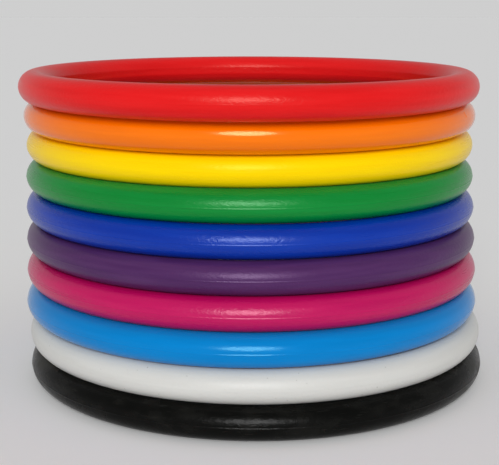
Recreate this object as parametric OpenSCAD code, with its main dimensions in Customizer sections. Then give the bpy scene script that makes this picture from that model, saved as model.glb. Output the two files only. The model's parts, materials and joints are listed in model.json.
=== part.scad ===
// A stack of ten loose leg rings. Each one is a plain closed ring of round plastic bar, moulded in one piece.
// Millimetres, +Z up. The origin is on the surface that the stack stands on, under the middle of the stack.

/* [Ring] */
// Diameter of the round bar that a ring is made of
bar_d = 5; // [3:0.1:8]
// Bore of a ring, inside the bar
bore_d = 65.5; // [40:0.5:120]

/* [Mould seam] */
// Height of the seam line that stands proud around the outside
seam_h = 0.03; // [0.01:0.01:0.1]
// Width of the outside seam line
seam_w = 0.3; // [0.1:0.05:1]
// Depth trimmed off the seam inside the bore, which leaves a narrow cylindrical land
land_depth = 0.03; // [0.01:0.01:0.1]

/* [Stack] */
// Clearance between one ring and the next
stack_gap = 0.01; // [0.01:0.01:0.5]

/* [Hidden] */
$fn = 180;

centre_r = bore_d / 2 + bar_d / 2;

// How each ring happens to lie, from the bottom one up: [pushed right, pushed back, back tipped up in degrees]
LIE = [
    [ 0.6, -3.8, 0  ],
    [ 0.4, -2.7, 0.1],
    [-0.2, -1.7, 0.1],
    [-0.2, -0.5, 0.3],
    [-0.3,  0.6, 0.4],
    [-0.4,  1.7, 0.5],
    [-0.5,  2.8, 0.6],
    [-0.5,  3.9, 0.7],
    [-0.5,  2.4, 0.8],
    [-0.6, -0.7, 1  ]
];

// How far a ring is pushed back from the one under it, and how far both are tipped up on average
function push(i) = LIE[i][1] - LIE[i - 1][1];
function mean_tip(i) = (LIE[i][2] + LIE[i - 1][2]) / 2;

// How much farther out a ring's bar is than the bar of the ring under it, in the direction a
function apart(i, a) =
    (LIE[i][0] - LIE[i - 1][0]) * cos(a) + (push(i) + bar_d * sin(mean_tip(i))) * sin(a);

// How much a ring is tipped up there, over the ring under it
function tip(i, a) = centre_r * (sin(LIE[i][2]) - sin(LIE[i - 1][2])) * sin(a);

// Height of a ring's centre: each ring comes down until it meets the one under it
function centre_z(i) =
    i == 0 ? bar_d / 2
    : centre_z(i - 1) + push(i) * sin(mean_tip(i))
        + max([for (a = [0 : 2 : 358]) sqrt(pow(bar_d + stack_gap, 2) - pow(apart(i, a), 2)) - tip(i, a)]);

// Section through the bar: round, with the proud seam outside and the trimmed land inside
module bar_section() {
    difference() {
        union() {
            circle(d = bar_d);
            translate([0, -seam_w / 2])
                square([bar_d / 2 + seam_h, seam_w]);
        }
        translate([-bar_d, -bar_d / 2])
            square([bar_d / 2 + land_depth, bar_d]);
    }
}

// One ring of the stack, counted from the bottom, where it lies
module ring(i) {
    translate([LIE[i][0], LIE[i][1], centre_z(i)])
        rotate([LIE[i][2], 0, 0])
            rotate_extrude()
                translate([centre_r, 0])
                    bar_section();
}

module black_ring() { color("#1c1d1b") ring(0); }
module white_ring() { color("#e4e4df") ring(1); }
module sky_ring() { color("#0088d2") ring(2); }
module pink_ring() { color("#c62a68") ring(3); }
module purple_ring() { color("#5a3c72") ring(4); }
module blue_ring() { color("#0f47ab") ring(5); }
module green_ring() { color("#018a3d") ring(6); }
module yellow_ring() { color("#ffdc00") ring(7); }
module orange_ring() { color("#fb7c00") ring(8); }
module red_ring() { color("#e22b2a") ring(9); }

black_ring();
white_ring();
sky_ring();
pink_ring();
purple_ring();
blue_ring();
green_ring();
yellow_ring();
orange_ring();
red_ring();
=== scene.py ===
import bmesh
import bpy
import json
import math
from mathutils import Euler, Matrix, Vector


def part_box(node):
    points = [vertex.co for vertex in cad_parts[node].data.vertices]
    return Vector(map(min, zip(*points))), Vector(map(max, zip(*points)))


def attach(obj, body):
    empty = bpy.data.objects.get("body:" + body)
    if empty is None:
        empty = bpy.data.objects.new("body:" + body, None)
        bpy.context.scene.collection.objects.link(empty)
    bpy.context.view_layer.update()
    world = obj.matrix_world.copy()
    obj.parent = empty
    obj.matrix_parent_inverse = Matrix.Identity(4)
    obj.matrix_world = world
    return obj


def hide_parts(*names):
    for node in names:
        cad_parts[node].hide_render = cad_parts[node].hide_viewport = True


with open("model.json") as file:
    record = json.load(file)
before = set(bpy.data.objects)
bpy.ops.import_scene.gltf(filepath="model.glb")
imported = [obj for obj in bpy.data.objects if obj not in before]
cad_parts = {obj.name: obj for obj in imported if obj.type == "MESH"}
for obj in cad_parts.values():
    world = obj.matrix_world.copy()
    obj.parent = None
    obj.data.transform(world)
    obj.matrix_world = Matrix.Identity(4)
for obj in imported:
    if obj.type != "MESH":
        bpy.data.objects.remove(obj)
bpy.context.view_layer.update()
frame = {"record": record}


# The camera. A long lens about two and a half ring widths from the stack, held a little above
# its top ring and aimed down at its middle.
bpy.ops.object.camera_add(location=(-0.0005, -0.1863, 0.0588), rotation=(math.radians(78.86), 0, 0))
camera = bpy.context.object
camera.data.lens = 79.6
camera.data.clip_start = 0.01
bpy.context.scene.camera = camera
bpy.context.scene.view_settings.view_transform = "Standard"


# The floor. A plain sheet of matt white card, wide enough to fill every view.
bpy.ops.object.select_all(action="DESELECT")
bpy.ops.mesh.primitive_plane_add(size=60)
floor = bpy.context.object
floor.name = "floor"
card = bpy.data.materials.new("white_card")
card.use_nodes = True
card.node_tree.nodes["Principled BSDF"].inputs["Base Color"].default_value = (0.92, 0.92, 0.92, 1)
card.node_tree.nodes["Principled BSDF"].inputs["Roughness"].default_value = 1
card.node_tree.nodes["Principled BSDF"].inputs["Specular IOR Level"].default_value = 0
floor.data.materials.append(card)


# The light. One softbox just over the camera, which makes the streak along the front of every ring, and
# a white tent round the rest. The tent is brightest near the floor, as bright as the floor itself.
bpy.ops.object.light_add(type="SUN", rotation=(math.radians(65), 0, math.radians(-1.5)))
softbox = bpy.context.object
softbox.name = "softbox"
softbox.data.angle = math.radians(26)
softbox.data.energy = 2.1
tent = bpy.data.worlds.new("tent")
tent.use_nodes = True
tent_nodes = tent.node_tree.nodes
way = tent_nodes.new("ShaderNodeSeparateXYZ")
glow = tent_nodes.new("ShaderNodeMapRange")
glow.inputs["From Min"].default_value = 0.05
glow.inputs["From Max"].default_value = 0.4
glow.inputs["To Min"].default_value = 0.62
glow.inputs["To Max"].default_value = 0.38
tent.node_tree.links.new(tent_nodes.new("ShaderNodeTexCoord").outputs["Generated"], way.inputs["Vector"])
tent.node_tree.links.new(way.outputs["Z"], glow.inputs["Value"])
tent.node_tree.links.new(glow.outputs["Result"], tent_nodes["Background"].inputs["Strength"])
tent_nodes["Background"].inputs["Color"].default_value = (1, 1, 1, 1)
bpy.context.scene.world = tent


# The mould. All ten rings are cast in the same one: a closed ring of round solid bar, with a fine seam
# standing proud round its outside, where the halves of the mould meet, and trimmed flat in its bore.
# One blank ring is made here, and each ring of the stack is a copy of it, a hair thicker than its nominal
# bar so that a ring sits firmly on the one below.
black_low, black_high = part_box("black_ring")
bar_d = black_high.z - black_low.z
bar_r = bar_d / 2
land_r = frame["record"]["mounts"][0]["dims"]["r_mm"] / 1000
land_depth = 0.00003  # trimmed off the seam in the bore
centre_r = land_r - land_depth + bar_r
seam_h = 0.00004  # how far the seam stands proud outside
skin = 0.00004  # how much thicker a casting is, all round the bar
touching = 0.000001  # points closer than this are one
bar_sides = 120
ring_steps = 360


def pick(piece, wanted):
    """Selects those points of a piece in edit mode whose place passes the test wanted."""
    bpy.ops.mesh.select_all(action="DESELECT")
    shape = bmesh.from_edit_mesh(piece.data)
    for point in shape.verts:
        point.select = wanted(point.co)
    shape.select_flush(True)
    bmesh.update_edit_mesh(piece.data)


bpy.ops.object.select_all(action="DESELECT")
bpy.ops.mesh.primitive_circle_add(
    vertices=bar_sides, radius=bar_r + skin, location=(centre_r, 0, 0), rotation=(math.radians(90), 0, 0)
)
blank = bpy.context.object
blank.name = "blank"
bpy.ops.object.transform_apply(location=True, rotation=True, scale=True)
bpy.ops.object.mode_set(mode="EDIT")
pick(blank, lambda p: p.x > centre_r and abs(p.z) < touching)
bpy.ops.transform.translate(value=(seam_h, 0, 0))
pick(blank, lambda p: p.x < land_r)
bpy.ops.transform.resize(value=(0, 1, 1), center_override=(land_r, 0, 0))
bpy.ops.mesh.select_all(action="SELECT")
bpy.ops.mesh.spin(steps=ring_steps, angle=math.tau, center=(0, 0, 0), axis=(0, 0, 1))
bpy.ops.mesh.select_all(action="SELECT")
bpy.ops.mesh.remove_doubles(threshold=touching)
bpy.ops.mesh.normals_make_consistent(inside=False)
bpy.ops.object.mode_set(mode="OBJECT")
bpy.ops.object.shade_smooth_by_angle(angle=math.radians(8))


def cast_ring(name, tip, seam_left=1):
    """Copies the blank to where the ring of this name lies, its back tipped up by tip degrees. Of the
    height of its outer seam, the share seam_left is left after trimming."""
    low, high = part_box(name + "_ring")
    bpy.ops.object.select_all(action="DESELECT")
    blank.select_set(True)
    bpy.context.view_layer.objects.active = blank
    bpy.ops.object.duplicate()
    ring = bpy.context.object
    ring.name = name + "_moulding"
    trim = (1 - seam_left) * seam_h / (centre_r + bar_r)
    bpy.ops.object.mode_set(mode="EDIT")
    pick(ring, lambda p: math.hypot(p.x, p.y) > centre_r + bar_r + skin + seam_h / 2)
    bpy.ops.transform.resize(value=(1 - trim, 1 - trim, 1), center_override=(0, 0, 0))
    bpy.ops.object.mode_set(mode="OBJECT")
    ring.rotation_euler = (math.radians(tip), 0, 0)
    ring.location = (low + high) / 2
    bpy.ops.object.transform_apply(location=True, rotation=True, scale=True)
    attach(ring, name)
    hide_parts(name + "_ring")
    return ring


class Link:
    """A socket of a material's node, with Python's operators standing for Math nodes."""

    def __init__(self, tree, socket=None):
        self.tree = tree
        self.socket = socket

    def node(self, kind, settings=None, output=0, **inputs):
        """Adds a node and returns one output. A space in a socket's name is written _, its number _0."""
        made = self.tree.nodes.new("ShaderNode" + kind)
        for name, value in (settings or {}).items():
            setattr(made, name, value)
        for name, value in inputs.items():
            number = name.strip("_")
            self.feed(made.inputs[int(number) if number.isdigit() else name.replace("_", " ")], value)
        return Link(self.tree, made.outputs[output])

    def feed(self, socket, value):
        if isinstance(value, Link):
            self.tree.links.new(value.socket, socket)
        else:
            socket.default_value = value

    def math(self, operation, *values):
        named = {f"_{i}": value for i, value in enumerate(values)}
        return self.node("Math", {"operation": operation}, **named)

    def __add__(self, other):
        return self.math("ADD", self, other)

    def __sub__(self, other):
        return self.math("SUBTRACT", self, other)

    def __rsub__(self, other):
        return self.math("SUBTRACT", other, self)

    def __mul__(self, other):
        return self.math("MULTIPLY", self, other)

    def __truediv__(self, other):
        return self.math("DIVIDE", self, other)

    def __pow__(self, other):
        return self.math("POWER", self, other)

    def __abs__(self):
        return self.math("ABSOLUTE", self)

    __radd__ = __add__
    __rmul__ = __mul__

    def ramp(self, low, high):
        """0 where this is low, 1 where it is high, and smooth between."""
        return self.node(
            "MapRange", {"interpolation_type": "SMOOTHSTEP"}, Value=self, From_Min=low, From_Max=high
        )

    def mix(self, colour_a, colour_b):
        """Colour a where this is 0 and colour b where it is 1."""
        return self.node("Mix", {"data_type": "RGBA"}, output=2, _0=self, _6=colour_a, _7=colour_b)


class Plastic:
    """The material of one ring. x and y point out from the ring's axis, out is how far beyond the
    middle of the bar a point is, and up how far above it, so patterns follow the ring round."""

    def __init__(self, ring, name, tip, gloss, sheen_colour=(1, 1, 1)):
        low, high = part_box(name + "_ring")
        material = bpy.data.materials.new(name + "_plastic")
        material.use_nodes = True
        ring.data.materials.append(material)
        self.tree = Link(material.node_tree)
        self.shader = material.node_tree.nodes["Principled BSDF"]
        self.shader.inputs["Specular IOR Level"].default_value = gloss
        self.shader.inputs["Specular Tint"].default_value = (*sheen_colour, 1)
        place = self.tree.node(
            "Mapping", {"vector_type": "TEXTURE"}, Vector=self.tree.node("TexCoord", output="Object"),
            Location=(low + high) / 2, Rotation=(math.radians(tip), 0, 0),
        )
        x = self.tree.node("SeparateXYZ", output="X", Vector=place)
        y = self.tree.node("SeparateXYZ", output="Y", Vector=place)
        self.up = self.tree.node("SeparateXYZ", output="Z", Vector=place)
        reach = (x * x + y * y) ** 0.5
        self.x = x / reach
        self.y = y / reach
        self.out = reach - centre_r

    def grain(self, size, stretch=1, detail=2, wander=0, seed=0):
        """Noise in spots of this size, in metres, drawn out along the ring by stretch."""
        along = centre_r / size / stretch
        vector = self.tree.node(
            "CombineXYZ", X=self.x * along, Y=self.y * along, Z=self.out / size + seed
        )
        return self.tree.node(
            "TexNoise", {"noise_dimensions": "4D"}, Vector=vector, W=self.up / size, Scale=1,
            Detail=detail, Distortion=wander,
        )

    def flow_marks(self, seed, size=0.0010, stretch=14, detail=3):
        """Streaks along the bar, 0 to 1, where the hot plastic ran round the mould."""
        return self.grain(size, stretch=stretch, detail=detail, seed=seed).ramp(0.3, 0.7)

    def ripple(self, depth, seed, size=0.00045, stretch=1.3, wander=0.8):
        """The unevenness of the moulded skin, in metres."""
        return depth * self.grain(size, stretch=stretch, wander=wander, seed=seed)

    def finish(self, colour, roughness, height):
        """Gives the plastic its colour and roughness, and a skin raised by height, in metres."""
        self.tree.feed(self.shader.inputs["Base Color"], colour)
        self.tree.feed(self.shader.inputs["Roughness"], roughness)
        bump = self.tree.node("Bump", Strength=1, Distance=1, Height=height)
        self.tree.feed(self.shader.inputs["Normal"], bump)


# The black ring. A closed ring of round moulded plastic, like the nine above it. It lies at the bottom of
# the stack and carries the rest. Its plastic is duller than the others' and has been rubbed grey in
# patches; round its left and right sides, where light glances off it, that grey is strengthened as painted
# sheen.
black_tip = 0
black = Plastic(cast_ring("black", black_tip), "black", black_tip, gloss=0.10)
rubbed = black.grain(0.0022, stretch=1.8, detail=5, seed=3).ramp(0.42, 0.66)
# painted sheen: the grey patches are made much stronger towards the ring's left and right sides, where light
# glances off it; elsewhere they stay faint rubbed scuffs
sheen_sides = abs(black.x).ramp(0.7, 1.0)
scuff_and_sheen = rubbed * (0.12 + 0.88 * sheen_sides)
scratches = black.grain(0.0003, stretch=7, detail=2, seed=9).ramp(0.62, 0.7)
black.finish(
    colour=(scuff_and_sheen * 0.8 + scratches * 0.12).mix((0.0016, 0.0017, 0.0013, 1), (0.042, 0.041, 0.036, 1)),
    roughness=0.26 + 0.25 * scuff_and_sheen,
    height=black.ripple(0.00005, seed=5, size=0.0004, stretch=1.5, wander=0.6),
)


# The white ring. A closed ring of bright white moulded plastic with a soft shine. It lies on the black
# one, and has picked up a few grey specks of dirt.
white_tip = 0.1
white = Plastic(cast_ring("white", white_tip, seam_left=0.2), "white", white_tip, gloss=0.28)
dirt = white.grain(0.0004, detail=1, seed=2).ramp(0.745, 0.785)
flow = white.flow_marks(seed=4, size=0.0012, stretch=12)
clean = flow.mix((0.59, 0.59, 0.565, 1), (0.62, 0.62, 0.595, 1))
white.finish(
    colour=dirt.mix(clean, (0.35, 0.34, 0.32, 1)),
    roughness=0.34 + 0.06 * flow,
    height=white.ripple(0.00004, seed=6, size=0.0005, stretch=1, wander=0.6),
)


# The sky blue ring. A closed ring of glossy moulded plastic, loose on the white one. Its skin is smoother
# than most, with faint flow marks along the bar.
sky_tip = 0.1
sky = Plastic(cast_ring("sky", sky_tip), "sky", sky_tip, gloss=0.3, sheen_colour=(0.35, 0.9, 1.0))
flow = sky.flow_marks(seed=1)
sky.finish(
    colour=flow.mix((0.0, 0.19, 0.53, 1), (0.0, 0.21, 0.58, 1)),
    roughness=0.16 + 0.04 * flow,
    height=sky.ripple(0.000016, seed=2),
)


# The pink ring. A closed ring of strong magenta plastic, moulded with its skin a little rippled, which
# breaks up its shine. It lies loose on the sky blue one.
pink_tip = 0.3
pink = Plastic(cast_ring("pink", pink_tip), "pink", pink_tip, gloss=0.52, sheen_colour=(1.0, 0.55, 0.66))
flow = pink.flow_marks(seed=11)
pink.finish(
    colour=flow.mix((0.46, 0.001, 0.09, 1), (0.52, 0.003, 0.10, 1)),
    roughness=0.26 + 0.06 * flow,
    height=pink.ripple(0.00005, seed=12),
)


# The purple ring. A closed ring of greyish purple moulded plastic, with more flow marks along the bar
# than the rest. It lies loose on the pink one.
purple_tip = 0.4
purple = Plastic(
    cast_ring("purple", purple_tip), "purple", purple_tip, gloss=0.3, sheen_colour=(0.9, 0.65, 1.0)
)
flow = purple.flow_marks(seed=21, size=0.0008, stretch=12, detail=4)
purple.finish(
    colour=flow.mix((0.060, 0.016, 0.088, 1), (0.078, 0.024, 0.108, 1)),
    roughness=0.30 + 0.06 * flow,
    height=purple.ripple(0.00004, seed=22),
)


# The blue ring. A closed ring of deep blue plastic, moulded with a slightly rippled skin. It lies loose on
# the purple one.
blue_tip = 0.5
blue = Plastic(cast_ring("blue", blue_tip), "blue", blue_tip, gloss=0.5, sheen_colour=(0.48, 0.6, 1.0))
flow = blue.flow_marks(seed=31)
blue.finish(
    colour=flow.mix((0.0, 0.026, 0.32, 1), (0.0, 0.034, 0.37, 1)),
    roughness=0.25 + 0.05 * flow,
    height=blue.ripple(0.00005, seed=32),
)


# The green ring. A closed ring of mid green plastic, moulded with a slightly rippled skin. It lies loose on
# the blue one.
green_tip = 0.6
green = Plastic(cast_ring("green", green_tip), "green", green_tip, gloss=0.38, sheen_colour=(0.58, 1.0, 0.65))
flow = green.flow_marks(seed=41)
green.finish(
    colour=flow.mix((0.0, 0.205, 0.026, 1), (0.0, 0.235, 0.033, 1)),
    roughness=0.26 + 0.05 * flow,
    height=green.ripple(0.00005, seed=42),
)


# The yellow ring. A closed ring of warm yellow moulded plastic, its outer seam trimmed almost away. It
# lies loose on the green one.
yellow_tip = 0.7
yellow = Plastic(
    cast_ring("yellow", yellow_tip, seam_left=0.2), "yellow", yellow_tip,
    gloss=0.26, sheen_colour=(1.0, 0.9, 0.2),
)
flow = yellow.flow_marks(seed=51)
yellow.finish(
    colour=flow.mix((0.90, 0.60, 0.0, 1), (0.95, 0.66, 0.0, 1)),
    roughness=0.26 + 0.05 * flow,
    height=yellow.ripple(0.00003, seed=52),
)


# The orange ring. A closed ring of orange plastic, the glossiest of the ten and smooth where the others
# are rippled. It alone shows the mark of its gate, where the plastic was let into the mould: a thin round
# disc on its right side, a little above the seam.
orange_tip = 0.8
gate_r = 0.0005
gate_depth = 0.00012
gate_edge = 0.00004
gate_turn = math.radians(-26)
gate_rise = math.radians(28)
orange_ring = cast_ring("orange", orange_tip, seam_left=0.1)
orange_low, orange_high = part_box("orange_ring")
outwards = Vector((math.cos(gate_turn), math.sin(gate_turn), 0))
gate_way = outwards * math.cos(gate_rise) + Vector((0, 0, math.sin(gate_rise)))
gate_place = outwards * centre_r + gate_way * bar_r
orange_lie = Euler((math.radians(orange_tip), 0, 0))
gate_way.rotate(orange_lie)
gate_place.rotate(orange_lie)
bpy.ops.object.select_all(action="DESELECT")
bpy.ops.mesh.primitive_cylinder_add(
    vertices=32, radius=gate_r, depth=gate_depth, location=(orange_low + orange_high) / 2 + gate_place,
    rotation=gate_way.to_track_quat("Z", "Y").to_euler(),
)
gate = bpy.context.object
bpy.ops.object.modifier_add(type="BEVEL")
gate.modifiers["Bevel"].width = gate_edge
gate.modifiers["Bevel"].segments = 3
bpy.ops.object.modifier_apply(modifier="Bevel")
bpy.ops.object.shade_smooth_by_angle(angle=math.radians(40))
bpy.ops.object.transform_apply(location=True, rotation=True, scale=True)
orange_ring.select_set(True)
bpy.context.view_layer.objects.active = orange_ring
bpy.ops.object.join()
orange = Plastic(orange_ring, "orange", orange_tip, gloss=0.55, sheen_colour=(1.0, 0.8, 0.4))
flow = orange.flow_marks(seed=61)
orange.finish(
    colour=flow.mix((0.88, 0.165, 0.0, 1), (0.93, 0.185, 0.0, 1)),
    roughness=0.13 + 0.03 * flow,
    height=orange.ripple(0.000002, seed=62, size=0.0012, stretch=3, wander=0),
)


# The red ring. A closed ring of bright red moulded plastic with a broad, broken shine. It lies loose on
# top of the stack, and is the first to be lifted off.
red_tip = 1
red = Plastic(
    cast_ring("red", red_tip, seam_left=0.3), "red", red_tip, gloss=0.28, sheen_colour=(1.0, 0.6, 0.5)
)
flow = red.flow_marks(seed=71)
red.finish(
    colour=flow.mix((0.70, 0.006, 0.008, 1), (0.77, 0.010, 0.012, 1)),
    roughness=0.28 + 0.06 * flow,
    height=red.ripple(0.00005, seed=72),
)


# The blank was only the pattern for the ten castings, so it is removed.
bpy.data.objects.remove(blank)
